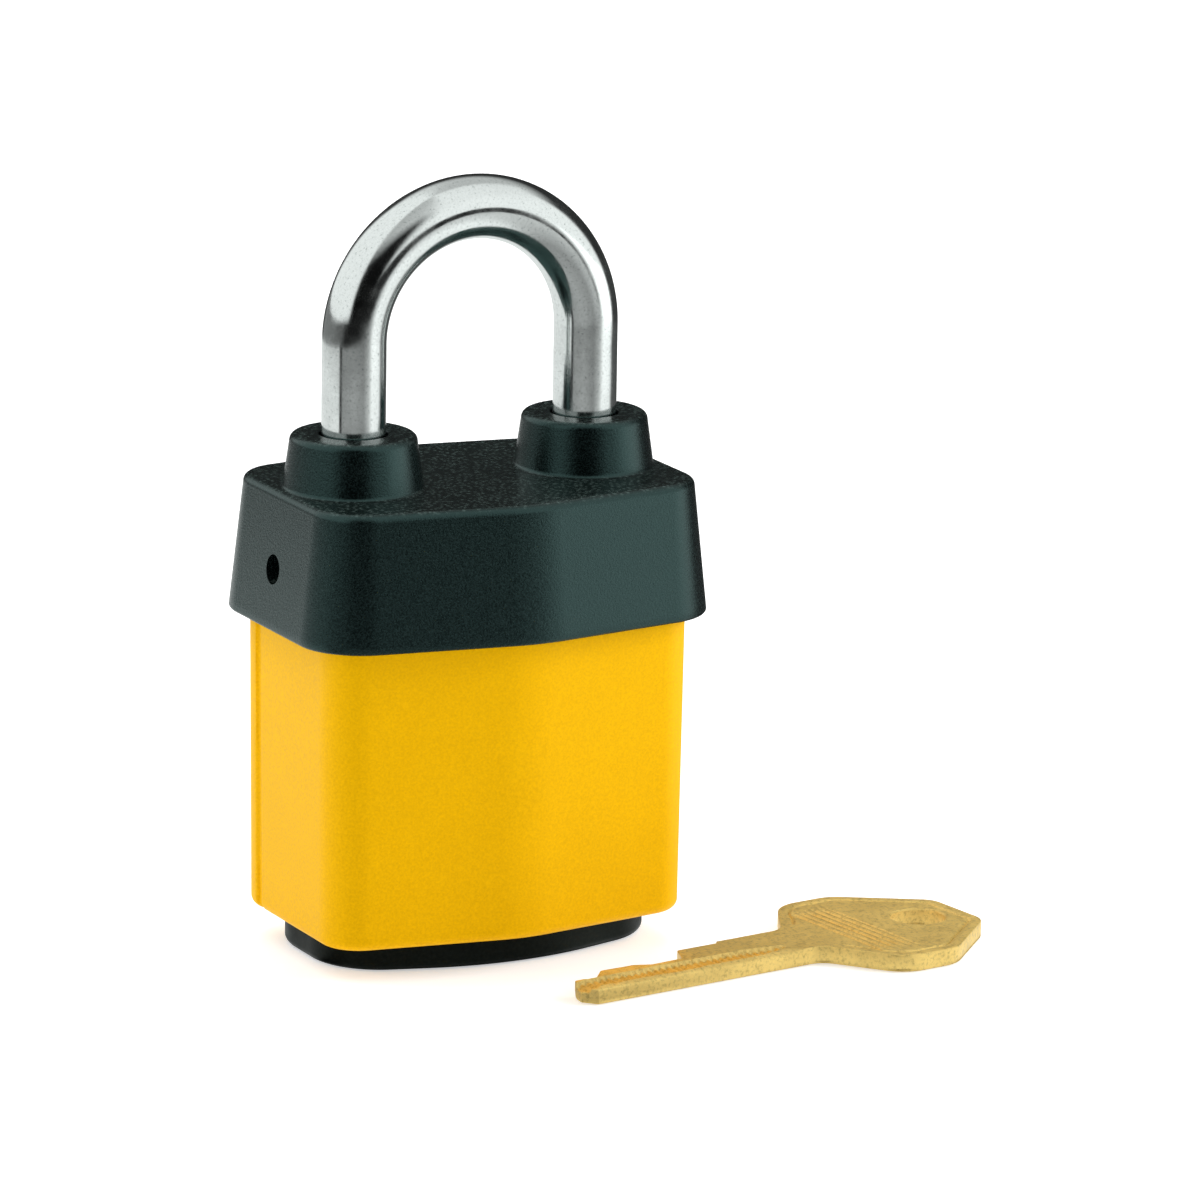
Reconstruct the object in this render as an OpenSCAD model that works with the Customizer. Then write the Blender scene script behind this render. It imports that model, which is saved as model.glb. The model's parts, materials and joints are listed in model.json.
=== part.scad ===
// Safety padlock: a laminated steel lock inside a moulded case, with its key.
// Frame: origin at the centre of the base on the surface it stands on, X across the
// width, front towards -Y, +Z up. Lengths in millimetres, angles in degrees.

/* [Shackle] */
// Diameter of the shackle bar
shackle_d = 8; // [6.5:0.1:8.5]
// Distance between the centres of the two legs
shackle_spacing = 31.8; // [30:0.1:34]
// Height of the centre of the bow above the base
bow_centre_z = 76.9; // [72:0.1:100]
// How far the shackle rises when the lock opens
shackle_lift = 22; // [20:0.5:26]
// Depth of the short leg below the top of the collars
toe_depth = 21.3; // [20:0.1:24]
// Chamfer on the end of each leg
leg_chamfer = 0.9; // [0.3:0.1:1.5]

/* [Case] */
// Width of the case across its flat ends
case_w = 49.7; // [46:0.1:62]
// Depth of the case at its four corners
case_corner_d = 28.4; // [27:0.1:36]
// Depth of the case across its front and back ridges
case_ridge_d = 36; // [34:0.1:44]
// Radius of the upright corners
case_corner_r = 5.6; // [4:0.1:8]
// Radius of the front and back ridges
case_ridge_r = 22; // [10:1:30]
// Wall of the case
case_wall = 2; // [1.5:0.1:2.4]
// Height of the bottom of the case above the base
case_bottom_z = 3.75; // [3.2:0.05:5]
// Thickness of the case's own floor
case_floor = 2.2; // [1.5:0.1:3]
// How much narrower each side of the case is at the bottom
case_draft = 0.33; // [0:0.01:0.6]
// Rounding of the case's bottom edge
case_edge_r = 1.2; // [0.6:0.1:1.8]
// Distance of the parting groove from the middle of each end
groove_y = 8.2; // [6:0.1:9]
// Width of the parting groove
groove_w = 1.4; // [0.8:0.1:2]
// Depth of the parting groove
groove_depth = 0.4; // [0.2:0.1:0.8]

/* [Cover] */
// Height of the rim of the top cover
rim_z = 42; // [38:0.1:43]
// How far the rim stands out from the case
rim_out = 2.72; // [2.4:0.01:3.4]
// How far the top of the cover stands out from the case
cover_top_out = 0.83; // [0.4:0.01:1.6]
// Thickness of the top of the cover
cover_top_wall = 2.6; // [1.8:0.1:4]
// Rounding of the cover's top edge
cover_edge_r = 1; // [0.5:0.1:1.4]
// How far the case reaches up inside the cover
case_overlap = 5; // [3:0.1:5.4]
// Height of the two collars above the cover
collar_h = 6.7; // [4:0.1:9]
// Radius of a collar at its top
collar_top_r = 7.9; // [7.2:0.1:8.4]
// Radius of a collar where it meets the cover
collar_base_r = 8.7; // [8:0.1:9.4]
// Rounding of a collar's top edge
collar_edge_r = 0.8; // [0.3:0.1:1.2]
// Thickness of the lip over each seal
collar_lip = 1.2; // [0.8:0.1:2]
// Diameter of the retaining pin hole in each end of the cover
pin_hole_d = 3.7; // [3.4:0.1:4.2]
// Diameter of the cover's retaining pins
cover_pin_d = 3; // [2:0.1:3.2]
// How far the retaining pins are set back in their holes
cover_pin_setback = 1.7; // [1:0.1:2.2]
// How far the retaining pins enter the plates
cover_pin_grip = 1.7; // [1:0.1:2]

/* [Base] */
// Width of the base
base_w = 45.2; // [44:0.1:48]
// Depth of the base at its corners
base_corner_d = 19.2; // [18:0.1:24]
// Depth of the base across its front and back ridges
base_ridge_d = 32.6; // [32:0.1:36]
// Radius of the corners of the base
base_corner_r = 9.4; // [5:0.1:9.5]
// Radius of the ridges of the base
base_ridge_r = 40; // [20:1:45]
// Rounding of the lower edge of the base
base_edge_r = 1; // [0.5:0.1:1.5]
// Diameter of the opening for the key
key_opening_d = 13; // [12:0.1:14]
// Width of the keyway cover
door_w = 20; // [18:0.5:24]
// Length of the keyway cover from its hinge
door_l = 17; // [16:0.5:19]
// Thickness of the keyway cover
door_t = 1.5; // [1.2:0.1:1.7]
// How far the keyway cover is set back in the base
door_recess = 0.3; // [0.2:0.05:0.5]
// Diameter of the keyway cover's hinge pin
door_pin_d = 1.2; // [1:0.1:1.4]
// Distance of the base's screws from the middle
cap_screw_x = 17; // [16.5:0.1:18]
// Diameter of the base's screws
cap_screw_d = 3; // [2.5:0.1:3.5]

/* [Laminated core] */
// Thickness of one steel plate
plate_t = 2.4; // [2.2:0.1:2.6]
// Number of plates below the ball plates
plates_below = 17; // [17:1:18]
// Diameter of the rivets
rivet_d = 3.5; // [3:0.1:4]
// Distance of the rivets from the middle, along the width
rivet_x = 17.3; // [17:0.1:18]
// Distance of the rivets from the middle, along the depth
rivet_y = 8.3; // [8.2:0.1:8.6]

/* [Cylinder] */
// Diameter of the plug
plug_d = 12.6; // [12:0.1:13]
// Outer diameter of the cylinder housing
housing_d = 17; // [16:0.1:17.4]
// Distance of the top of the pin chambers from the plug's axis
chamber_top = 13.2; // [12.5:0.1:13.6]
// Number of pin chambers
pin_count = 5; // [4:1:6]
// Spacing of the pin chambers
pin_spacing = 3.4; // [3:0.1:3.6]
// Diameter of the pins
pin_d = 2.8; // [2.4:0.1:2.9]
// Diameter of each locking ball
ball_d = 4.8; // [4.4:0.1:5]
// How far a ball reaches into its notch
ball_grip = 1.2; // [1:0.1:1.4]
// How far a ball moves back while the shackle rises
ball_travel = 5; // [4.8:0.1:5.4]

/* [Key] */
// Length of the key from tip to bow end
key_l = 60; // [54:0.5:64]
// Length of the key's blade up to the bow
blade_l = 29.5; // [28:0.5:31]
// Height of the key's blade
blade_h = 8; // [7.4:0.1:8.2]
// Thickness of the key
key_t = 2.2; // [2:0.1:2.4]
// Width of the key's bow
bow_w = 27; // [22:0.5:30]
// Diameter of the ring hole in the bow
ring_hole_d = 7; // [5:0.1:8]

/* [Clearances] */
// Running clearance of the plug in its housing, on the radius
plug_gap = 0.05; // [0.02:0.01:0.1]
// Clearance round the legs in the plates, on the radius
leg_gap = 0.2; // [0.1:0.05:0.3]
// Clearance round the legs in their seals, on the radius
seal_gap = 0.1; // [0.05:0.01:0.2]
// Clearance of a fixed piece in its seat, on each side
seat_gap = 0.1; // [0.05:0.01:0.2]
// Clearance of a moving piece from what it passes
move_gap = 0.3; // [0.2:0.05:0.4]

/* [Hidden] */

$fn = 64;
sliver = 0.01;     // thickness of the thin slices that the tapered shells are drawn through
pass = 1;          // how far a cutter runs past the face that it opens

// Shackle and its legs: the short leg, or toe, is at -X and the long leg, or heel, at +X.
leg_x = shackle_spacing / 2;
leg_r = shackle_d / 2;

// Core: the plates stand on the case's floor.
core_z = case_bottom_z + case_floor;
core_wall_gap = 0.2;
core_inset = case_wall + core_wall_gap;
plate_gap = 0.02;
ball_plate_z = core_z + plate_t * plates_below;
ball_z = ball_plate_z + plate_t * 1.5;
top_plate_z = ball_plate_z + plate_t * 3;
core_top_z = top_plate_z + plate_t;
spacer_count = 2;
spacer_z = ball_plate_z - plate_t * spacer_count;
cylinder_z = core_z + plate_t;
spring_floor_plates = 3;
spring_floor_z = core_z + plate_t * spring_floor_plates;

// Cover
cover_ceiling_z = core_top_z + seat_gap;
cover_top_z = cover_ceiling_z + cover_top_wall;
collar_top_z = cover_top_z + collar_h;
case_top_z = rim_z + case_overlap;
seal_r = leg_r + 2;
cover_pin_r = cover_pin_d / 2;
cover_pin_z = ball_z - 0.8;

// Legs
toe_end_z = collar_top_z - toe_depth;
heel_bore_r = leg_r + 1.5;
ring_h = 1.4;
ring_z = ball_plate_z - shackle_lift - ring_h - leg_gap;
heel_end_z = ring_z - ring_h;
ring_groove_r = leg_r - 0.9;
ring_grip = 1.35;

// Balls: centres when the shackle is locked. They move along X towards the cam.
ball_r = ball_d / 2;
ball_x = leg_x - leg_r + ball_grip - ball_r;
ball_slope = ball_travel / shackle_lift;
ball_gap = 0.05;
notch_gap = 0.15;

// Cylinder: the plug turns on the Z axis, and the pins stand along +Y.
plug_r = plug_d / 2;
housing_r = housing_d / 2;
housing_l = spacer_z - cylinder_z;
chamber_wall = 2.1;
pin_r = pin_d / 2;
pin_gap = 0.1;
pin_flat_y = sqrt(plug_r * plug_r - pin_r * pin_r) - 0.02;
driver_l = 3;
driver_y = plug_r + plug_gap + 0.05;
cap_t = 0.6;
blade_reach = 27;
tip_to_pin = 3.3;
pin_z = [for (i = [0 : pin_count - 1]) cylinder_z + blade_reach - tip_to_pin - pin_spacing * i];
// Height of the key's edge under each pin, counted from the tip
bitting = [3.9, 5.9, 5.8, 4.8, 4.9, 5.4];
plug_nose_r = 5;
plug_nose_l = 2;
clip_t = 0.8;
clip_r = 7.4;
clip_z = spacer_z + 0.2;
clip_groove_r = 4.3;
cam_shank_r = 3;
cam_t = plate_t - 0.2;
cam_z = ball_z - cam_t / 2;
cam_screw_r = 1.25;
cam_head_r = 2.6;
cam_head_h = 1.4;

// Keyway cover and its hinge, at the back of the base
door_z = door_recess;
door_pin_r = door_pin_d / 2;
door_pin_y = 9.4;
door_pin_z = door_z + door_t / 2 + 0.3;
door_knuckle_r = door_pin_r + 0.45;
door_pocket_top = door_z + door_t + 0.5;
cap_head_r = cap_screw_d;
cap_head_h = 1.5;
cap_head_z = 0.8;
gasket_r = key_opening_d / 2 + 1.6;
gasket_w = 1.3;
gasket_h = 1.1;

// Key: it lies flat beside the lock, its tip to the left.
key_x = -1;
key_y = -31;
key_angle = 8;

// ---- outlines ----
function unit(v) = v / norm(v);
function turn(a) = a > 180 ? a - 360 : a < -180 ? a + 360 : a;

// Arc of radius r that rounds the corner b between the points a and c
function corner_arc(a, b, c, r, steps) =
    let (u = unit(a - b), v = unit(c - b), half = acos(u * v) / 2)
    let (m = b + unit(u + v) * r / sin(half))
    let (s = b + u * r / tan(half) - m, e = b + v * r / tan(half) - m)
    let (from = atan2(s[1], s[0]), sweep = turn(atan2(e[1], e[0]) - from))
    [for (i = [0 : steps]) m + r * [cos(from + sweep * i / steps), sin(from + sweep * i / steps)]];

// Closed outline through pts, each corner i rounded to radius radii[i]
function rounded(pts, radii, steps = 6) =
    let (n = len(pts))
    [for (i = [0 : n - 1]) each corner_arc(pts[(i + n - 1) % n], pts[i], pts[(i + 1) % n], radii[i], steps)];

// Six-sided plan with flat ends and a ridge in the middle of the front and back, moved out by d
function hex_plan(w, corner_d, ridge_d, corner_r, ridge_r, d) =
    let (slope = atan((ridge_d - corner_d) / w))
    let (x = w / 2 + d, yr = ridge_d / 2 + d / cos(slope), yc = yr - x * tan(slope))
    rounded([[x, yc], [0, yr], [-x, yc], [-x, -yc], [0, -yr], [x, -yc]],
        [for (i = [0 : 5]) d + (i % 3 == 1 ? ridge_r : corner_r)]);

function case_plan(d) = hex_plan(case_w, case_corner_d, case_ridge_d, case_corner_r, case_ridge_r, d);
function base_plan(d) = hex_plan(base_w, base_corner_d, base_ridge_d, base_corner_r, base_ridge_r, d);

module slice(z, outline) { translate([0, 0, z]) linear_extrude(sliver) polygon(outline); }
module prism(z0, z1, outline) { translate([0, 0, z0]) linear_extrude(z1 - z0) polygon(outline); }
module upright(x, y, z0, z1, r) { translate([x, y, z0]) cylinder(h = z1 - z0, r = r); }
module along_x(x0, x1, y, z, r) { translate([x0, y, z]) rotate([0, 90, 0]) cylinder(h = x1 - x0, r = r); }
module along_y(y0, y1, x, z, r) { translate([x, y0, z]) rotate([-90, 0, 0]) cylinder(h = y1 - y0, r = r); }
module both_ends() { children(); mirror([1, 0, 0]) children(); }
module at_legs() { for (x = [-leg_x, leg_x]) translate([x, 0, 0]) children(); }
module at_rivets() { for (x = [-rivet_x, rivet_x], y = [-rivet_y, rivet_y]) translate([x, y, 0]) children(); }

// Coil of round wire: turns from z0 to z1, as a tube swept along a helix
module coil(radius, wire, z0, z1, turns, per_turn, sides) {
    rings = turns * per_turn;
    pts = [for (i = [0 : rings], j = [0 : sides - 1])
        let (a = 360 * i / per_turn, b = 360 * j / sides, rr = radius + wire * cos(b) / 2)
        [rr * cos(a), rr * sin(a), z0 + wire / 2 + (z1 - z0 - wire) * i / rings + wire * sin(b) / 2]];
    skin = [for (i = [0 : rings - 1], j = [0 : sides - 1])
        let (k = (j + 1) % sides)
        [i * sides + j, (i + 1) * sides + j, (i + 1) * sides + k, i * sides + k]];
    polyhedron(pts, concat(skin, [[for (j = [0 : sides - 1]) j]],
        [[for (j = [sides - 1 : -1 : 0]) rings * sides + j]]));
}

// ---- outer pieces ----
function cover_out(z) = rim_out - (rim_out - cover_top_out) * (z - rim_z) / (cover_top_z - rim_z);

module collar() {
    edge = corner_arc([collar_base_r, cover_top_z], [collar_top_r, collar_top_z], [0, collar_top_z],
        collar_edge_r, 8);
    rotate_extrude() polygon(concat([[0, cover_top_z - pass], [collar_base_r, cover_top_z - pass],
        [collar_base_r, cover_top_z]], edge, [[0, collar_top_z]]));
}

module top_cover() {
    z_edge = cover_top_z - cover_edge_r;
    color([0.13, 0.15, 0.15]) difference() {
        union() {
            hull() {
                slice(rim_z, case_plan(rim_out - 0.2));
                slice(rim_z + 0.25, case_plan(cover_out(rim_z + 0.25)));
                slice(z_edge, case_plan(cover_out(z_edge)));
                slice(cover_top_z - cover_edge_r * 0.3, case_plan(cover_top_out - cover_edge_r * 0.3));
                slice(cover_top_z - sliver, case_plan(cover_top_out - cover_edge_r));
            }
            at_legs() collar();
        }
        prism(rim_z - pass, case_top_z, case_plan(seat_gap));
        prism(rim_z, cover_ceiling_z, case_plan(-case_wall));
        at_legs() {
            upright(0, 0, cover_ceiling_z - pass, collar_top_z - collar_lip, seal_r + seat_gap);
            upright(0, 0, cover_ceiling_z, collar_top_z + pass, leg_r + move_gap);
        }
        both_ends() {
            along_x(0, case_w, 0, cover_pin_z, cover_pin_r + sliver);
            along_x(cover_pin_end, case_w, 0, cover_pin_z, pin_hole_d / 2);
        }
    }
}

cover_pin_end = case_w / 2 + cover_out(cover_pin_z) - cover_pin_setback;

module case_sleeve() {
    height = rim_z - case_bottom_z;
    color([0.98, 0.76, 0.08]) difference() {
        union() {
            hull() {
                slice(case_bottom_z, case_plan(-case_draft - case_edge_r));
                slice(case_bottom_z + case_edge_r * 0.3, case_plan(-case_draft - case_edge_r * 0.3));
                slice(case_bottom_z + case_edge_r, case_plan(-case_draft));
                slice(rim_z, case_plan(0));
            }
            prism(rim_z, case_top_z, case_plan(0));
        }
        prism(core_z, case_top_z + pass, case_plan(-case_wall));
        prism(case_bottom_z - pass, core_z + pass, base_plan(-spigot_inset + seat_gap));
        both_ends() translate([case_w / 2 - groove_depth, groove_y - groove_w / 2, rim_z])
            rotate([0, atan(case_draft / height), 0]) translate([0, 0, -height - pass])
                cube([groove_depth + pass, groove_w, height + pass + case_overlap / 2]);
    }
}

spigot_inset = 3.5;

module bottom_cap() {
    knuckle_gap = door_knuckle_r + move_gap;
    pocket_y = door_pin_y - door_l;
    color([0.06, 0.06, 0.065]) difference() {
        union() {
            hull() {
                slice(0, base_plan(-base_edge_r));
                slice(base_edge_r * 0.3, base_plan(-base_edge_r * 0.3));
                slice(base_edge_r, base_plan(0));
            }
            prism(base_edge_r, case_bottom_z, base_plan(0));
            prism(base_edge_r, core_z, base_plan(-spigot_inset));
        }
        translate([-door_w / 2 - move_gap, pocket_y - move_gap, -pass])
            cube([door_w + 2 * move_gap, door_l + move_gap, door_pocket_top + pass]);
        translate([-door_w / 2 - move_gap, door_pin_y - move_gap, -pass])
            cube([door_w + 2 * move_gap, knuckle_gap + move_gap, door_pin_z + pass]);
        along_x(-door_w / 2 - move_gap, door_w / 2 + move_gap, door_pin_y, door_pin_z, knuckle_gap);
        along_x(-door_w / 2 - 2.5, door_w / 2 + 2.5, door_pin_y, door_pin_z, door_pin_r);
        translate([0, pocket_y, 0]) upright(0, 0, -pass, door_pocket_top, finger_r);
        upright(0, 0, 0, core_z + pass, key_opening_d / 2);
        upright(0, 0, core_z - gasket_h, core_z + pass, gasket_r);
        both_ends() {
            upright(cap_screw_x, 0, -pass, cap_head_z + cap_head_h, cap_head_r + seat_gap);
            upright(cap_screw_x, 0, 0, core_z + pass, cap_screw_d / 2 + seat_gap);
        }
    }
}

finger_r = 3;

module keyway_cover() {
    front = door_pin_y - door_l;
    color([0.07, 0.07, 0.075]) difference() {
        union() {
            translate([-door_w / 2, front, door_z]) cube([door_w, door_l - door_knuckle_r, door_t]);
            along_x(-door_w / 2, door_w / 2, door_pin_y, door_pin_z, door_knuckle_r);
            translate([-door_w / 2, door_pin_y - door_knuckle_r - sliver, door_z])
                cube([door_w, door_knuckle_r, door_t]);
        }
        along_x(-door_w, door_w, door_pin_y, door_pin_z, door_pin_r + 0.05);
    }
}

module keyway_cover_pin() {
    color([0.7, 0.7, 0.72])
        along_x(-door_w / 2 - 2.4, door_w / 2 + 2.4, door_pin_y, door_pin_z, door_pin_r - 0.02);
}

module cap_screws() {
    color([0.72, 0.72, 0.74]) both_ends() difference() {
        union() {
            upright(cap_screw_x, 0, cap_head_z, cap_head_z + cap_head_h, cap_head_r);
            upright(cap_screw_x, 0, cap_head_z, cylinder_z - 0.4, cap_screw_d / 2);
        }
        upright(cap_screw_x, 0, cap_head_z - pass, cap_head_z + 0.9, 1);
        translate([cap_screw_x - cap_head_r * 0.7, -0.35, cap_head_z - pass])
            cube([cap_head_r * 1.4, 0.7, pass + 0.7]);
    }
}

module cover_pins() {
    grip_x = case_w / 2 - core_inset - cover_pin_grip;
    color([0.5, 0.5, 0.52]) both_ends()
        along_x(grip_x, cover_pin_end, 0, cover_pin_z, cover_pin_r);
}

module shackle_seals() {
    color([0.1, 0.1, 0.1]) at_legs() difference() {
        upright(0, 0, core_top_z, collar_top_z - collar_lip, seal_r);
        upright(0, 0, core_top_z - pass, collar_top_z, leg_r + seal_gap);
    }
}

module key_gasket() {
    color([0.09, 0.09, 0.09]) difference() {
        upright(0, 0, core_z - gasket_h, core_z, gasket_r - seat_gap);
        upright(0, 0, core_z - gasket_h - pass, core_z + pass, gasket_r - gasket_w);
    }
}

// ---- laminated core ----
module plates(first, last) {
    for (i = [first : last])
        prism(core_z + plate_t * i, core_z + plate_t * (i + 1) - plate_gap, case_plan(-core_inset));
}

module rivet_holes() { at_rivets() upright(0, 0, 0, cover_top_z, rivet_d / 2); }
module countersink(z, up) {
    head = rivet_d / 2 + 1.1;
    translate([0, 0, z]) mirror([0, 0, up ? 0 : 1])
        translate([0, 0, -1.1]) cylinder(h = 1.1, r1 = rivet_d / 2, r2 = head);
}

module leg_bores(z0, z1, toe, heel, r_heel) {
    if (toe) upright(-leg_x, 0, z0 - pass, z1 + pass, leg_r + leg_gap);
    if (heel) upright(leg_x, 0, z0 - pass, z1 + pass, r_heel);
}

// Plan of the cylinder housing: a round body with a rectangular bridge for the pins
module housing_form(z0, z1, grow) {
    upright(0, 0, z0, z1, housing_r + grow);
    translate([-pin_r - chamber_wall - grow, 0, z0])
        cube([2 * (pin_r + chamber_wall + grow), chamber_top + cap_t + grow, z1 - z0]);
}

module bottom_plate() {
    color([0.62, 0.63, 0.65]) difference() {
        plates(0, 0);
        upright(0, 0, 0, cylinder_z + pass, plug_r - 0.6);
        rivet_holes();
        at_rivets() countersink(core_z, false);
        both_ends() upright(cap_screw_x, 0, 0, cylinder_z + pass, cap_screw_d / 2 + 0.03);
    }
}

module cylinder_plates() {
    last = plates_below - spacer_count - 1;
    color([0.6, 0.61, 0.63]) difference() {
        plates(1, last);
        housing_form(cylinder_z - pass, spacer_z + pass, seat_gap);
        rivet_holes();
        leg_bores(spring_floor_z + pass, spacer_z, false, true, heel_bore_r);
    }
}

module spacer_plates() {
    color([0.62, 0.63, 0.65]) difference() {
        plates(plates_below - spacer_count, plates_below - 1);
        upright(0, 0, 0, cover_top_z, clip_r + move_gap);
        rivet_holes();
        leg_bores(spacer_z, ball_plate_z, true, true, heel_bore_r);
    }
}

module ball_plates() {
    color([0.58, 0.59, 0.61]) difference() {
        plates(plates_below, plates_below + 2);
        rivet_holes();
        leg_bores(ball_plate_z, top_plate_z, true, true, leg_r + leg_gap);
        upright(0, 0, ball_plate_z - pass, top_plate_z + pass, cam_shank_r + move_gap);
        upright(0, 0, ball_z - plate_t / 2, ball_z + plate_t / 2, cam_space_r);
        along_x(-leg_x, leg_x, 0, ball_z, ball_r + ball_gap);
        both_ends() along_x(case_w / 2 - core_inset - cover_pin_grip, case_w, 0, cover_pin_z,
            cover_pin_r + sliver);
    }
}

cam_space_r = ball_x - ball_r + move_gap;

module top_plate() {
    color([0.63, 0.64, 0.66]) difference() {
        plates(plates_below + 3, plates_below + 3);
        rivet_holes();
        at_rivets() countersink(core_top_z, true);
        leg_bores(top_plate_z, core_top_z, true, true, leg_r + leg_gap);
    }
}

module rivets() {
    fit = 0.02;
    color([0.7, 0.7, 0.71]) at_rivets() {
        upright(0, 0, core_z, core_top_z, rivet_d / 2 - fit);
        translate([0, 0, core_z]) cylinder(h = 1, r1 = rivet_d / 2 + 1, r2 = rivet_d / 2 - fit);
        translate([0, 0, core_top_z - 1]) cylinder(h = 1, r1 = rivet_d / 2 - fit, r2 = rivet_d / 2 + 1);
    }
}

// ---- cylinder ----
module pin_bores(y0, y1, r) { for (z = pin_z) along_y(y0, y1, 0, z, r); }

module cylinder_housing() {
    color([0.78, 0.66, 0.38]) difference() {
        intersection() {
            housing_form(cylinder_z, spacer_z, 0);
            translate([-housing_d, -housing_d, cylinder_z])
                cube([2 * housing_d, housing_d + chamber_top, housing_l]);
        }
        upright(0, 0, cylinder_z - pass, spacer_z + pass, plug_r + plug_gap);
        pin_bores(0, chamber_top + pass, pin_r + pin_gap);
    }
}

module chamber_cap() {
    half = pin_r + chamber_wall;
    color([0.74, 0.62, 0.34])
        translate([-half, chamber_top, cylinder_z]) cube([2 * half, cap_t, housing_l]);
}

module driver_pins() {
    color([0.8, 0.68, 0.4]) pin_bores(driver_y, driver_y + driver_l, pin_r);
}

module pin_springs() {
    start = driver_y + driver_l;
    color([0.75, 0.76, 0.78]) for (z = pin_z) translate([0, 0, z]) rotate([-90, 0, 0])
        coil(pin_r - 0.25, 0.35, start, chamber_top, 4, 10, 5);
}

module plug() {
    slot_w = key_t + 0.2;
    slot_h = blade_h + 0.2;
    color([0.8, 0.69, 0.42]) difference() {
        union() {
            upright(0, 0, cylinder_z + seat_gap, spacer_z, plug_r);
            upright(0, 0, spacer_z - pass, spacer_z + plug_nose_l, plug_nose_r);
        }
        translate([-slot_w / 2, -slot_h / 2, cylinder_z - pass])
            cube([slot_w, slot_h, blade_reach + 1 + pass]);
        pin_bores(-blade_h / 2 + 3.5, plug_d, pin_r + pin_gap);
        difference() {
            upright(0, 0, clip_z, clip_z + clip_t, plug_r);
            upright(0, 0, clip_z - pass, clip_z + clip_t + pass, clip_groove_r);
        }
        upright(0, 0, spacer_z - 5, spacer_z + plug_nose_l + pass, cam_screw_r);
    }
}

module key_pins() {
    color([0.82, 0.7, 0.42]) for (i = [0 : pin_count - 1]) {
        foot = -blade_h / 2 + bitting[i];
        along_y(foot + 0.8, pin_flat_y, 0, pin_z[i], pin_r);
        translate([0, foot, pin_z[i]]) rotate([-90, 0, 0]) cylinder(h = 0.8, r1 = pin_r - 0.8, r2 = pin_r);
    }
}

module plug_clip() {
    color([0.55, 0.56, 0.58]) difference() {
        upright(0, 0, clip_z, clip_z + clip_t, clip_r);
        upright(0, 0, clip_z - pass, clip_z + clip_t + pass, clip_groove_r + 0.02);
        translate([0, -clip_groove_r * 0.8, clip_z - pass]) cube([clip_d, clip_groove_r * 1.6, clip_t + 2 * pass]);
    }
}

clip_d = 2 * clip_r;

// One flank of the cam: the inner parallel, at one ball radius, of the spiral that a ball's
// centre follows round the turning plug
function cam_flank(steps) = [for (i = [0 : steps])
    let (a = 90 * i / steps, c = ball_x - ball_travel * i / steps, k = ball_travel / (PI / 2))
    let (p = c * [cos(a), -sin(a)], t = unit([-k * cos(a) - c * sin(a), k * sin(a) - c * cos(a)]))
    p + (ball_r + ball_gap) * [t[1], -t[0]]];

module locking_cam() {
    flank = cam_flank(18);
    waist = ball_x - ball_travel - ball_r - seat_gap * 2;
    tip_r = norm(flank[0]);
    back = [for (i = [0 : 6]) let (a = -90 - 11 * i, r = i < 6 ? waist : tip_r * 0.75) r * [cos(a), sin(a)]];
    land = [tip_r * [cos(-168), sin(-168)]];
    half = concat(flank, back, land);
    color([0.66, 0.66, 0.68]) difference() {
        union() {
            translate([0, 0, cam_z]) linear_extrude(cam_t)
                polygon(concat(half, [for (p = half) -p]));
            upright(0, 0, spacer_z + plug_nose_l, cam_z + sliver, cam_shank_r);
        }
        upright(0, 0, 0, cover_top_z, cam_screw_r + 0.05);
    }
}

module cam_screw() {
    top = cam_z + cam_t;
    color([0.7, 0.7, 0.72]) difference() {
        union() {
            upright(0, 0, spacer_z - 4.5, top + sliver, cam_screw_r - 0.03);
            upright(0, 0, top, top + cam_head_h, cam_head_r);
        }
        translate([-cam_head_r, -0.35, top + cam_head_h * 0.4]) cube([2 * cam_head_r, 0.7, cam_head_h]);
    }
}

module ball(side) { color([0.8, 0.81, 0.83]) translate([side * ball_x, 0, ball_z]) sphere(r = ball_r); }
module ball_toe() { ball(-1); }
module ball_heel() { ball(1); }

// ---- shackle ----
module leg(x, end_z) {
    translate([x, 0, end_z]) cylinder(h = leg_chamfer, r1 = leg_r - leg_chamfer, r2 = leg_r);
    upright(x, 0, end_z + leg_chamfer, bow_centre_z, leg_r);
}

// Notch for the ball of the leg on one side: a pocket, and the ramp that pushes the ball back
module ball_notch(side) {
    run = shackle_lift * 0.4;
    r = ball_r + notch_gap;
    translate([side * ball_x, 0, ball_z]) {
        sphere(r = r);
        rotate([0, side * (180 + atan(ball_slope)), 0]) cylinder(h = run, r = r);
    }
}

module shackle() {
    color([0.83, 0.84, 0.86]) difference() {
        union() {
            translate([0, 0, bow_centre_z]) rotate([90, 0, 0])
                rotate_extrude(angle = 180) translate([leg_x, 0]) circle(r = leg_r);
            leg(-leg_x, toe_end_z);
            leg(leg_x, heel_end_z);
        }
        ball_notch(-1);
        ball_notch(1);
        difference() {
            upright(leg_x, 0, ring_z, ring_z + ring_h, leg_r + pass);
            upright(leg_x, 0, ring_z - pass, ring_z + ring_h + pass, ring_groove_r);
        }
    }
}

module heel_ring() {
    color([0.6, 0.61, 0.63]) translate([leg_x, 0, 0]) difference() {
        upright(0, 0, ring_z + 0.02, ring_z + ring_h - 0.02, leg_r + ring_grip);
        upright(0, 0, ring_z - pass, ring_z + ring_h + pass, ring_groove_r + 0.02);
        translate([0, -ring_groove_r * 0.75, ring_z - pass]) cube([shackle_d, ring_groove_r * 1.5, ring_h + 2 * pass]);
    }
}

module shackle_spring() {
    color([0.75, 0.76, 0.78]) translate([leg_x, 0, 0])
        coil(leg_r - 0.6, 0.9, spring_floor_z, heel_end_z, 6, 20, 8);
}

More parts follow.
